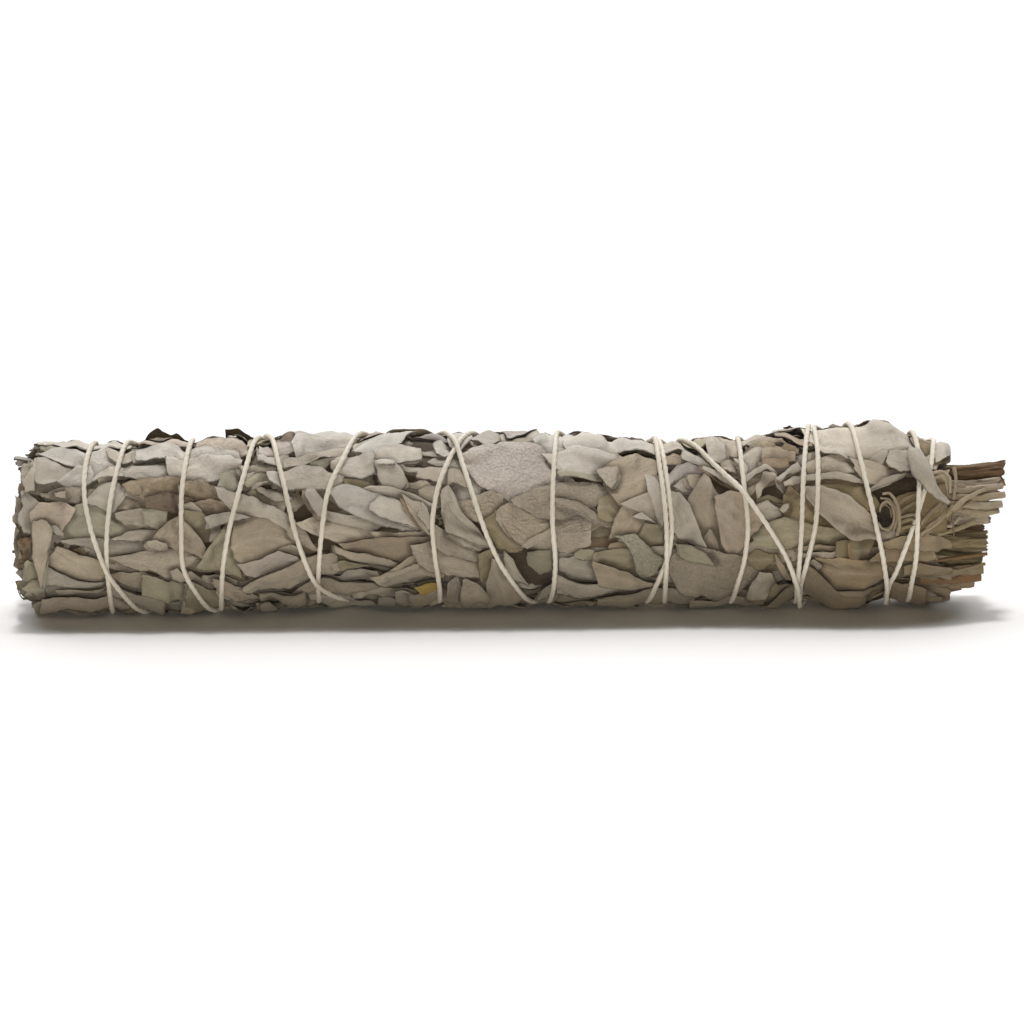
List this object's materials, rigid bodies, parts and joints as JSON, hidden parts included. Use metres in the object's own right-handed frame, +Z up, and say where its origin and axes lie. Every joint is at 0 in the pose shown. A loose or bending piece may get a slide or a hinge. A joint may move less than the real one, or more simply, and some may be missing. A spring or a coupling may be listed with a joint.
{
  "type": "sage smudge stick",
  "caption": "Bundle of dried white sage sprigs, pressed into a long round stick and bound with criss-cross cotton string, lying on its side.",
  "frame": {"origin": "middle of the stick's length and width, on the surface it rests on", "axes": "+X along the stick from the leaf tips to the cut stems, +Z up, -Y towards the side that the picture shows"},
  "size_m": [0.2278, 0.0422, 0.0423],
  "materials": {
    "sage_leaf": "dried velvety leaf, matte grey-green",
    "stem_bark": "rough dry bark, matte brown",
    "stem_tan": "fibrous dry stem, matte tan",
    "stem_olive": "dry ribbed stem, matte olive",
    "cotton": "twisted cotton string, matte off-white"
  },
  "bodies": {
    "root": {"leafy_sprig_1": "sage_leaf", "leafy_sprig_2": "sage_leaf", "leafy_sprig_3": "sage_leaf", "leafy_sprig_4": "sage_leaf", "leafy_sprig_5": "sage_leaf", "leafy_sprig_6": "sage_leaf", "leafy_sprig_7": "sage_leaf", "leafy_sprig_8": "sage_leaf", "woody_stem_01": "stem_bark", "woody_stem_02": "stem_bark", "woody_stem_03": "stem_tan", "woody_stem_04": "stem_tan", "woody_stem_05": "stem_olive", "woody_stem_06": "stem_olive", "woody_stem_07": "stem_bark", "woody_stem_08": "stem_bark", "woody_stem_09": "stem_tan", "woody_stem_10": "stem_tan", "woody_stem_11": "stem_olive", "woody_stem_12": "stem_olive", "woody_stem_13": "stem_bark", "woody_stem_14": "stem_bark", "woody_stem_15": "stem_tan", "woody_stem_16": "stem_tan", "woody_stem_17": "stem_olive", "woody_stem_18": "stem_olive", "cotton_string": "cotton"}
  },
  "joints": []
}
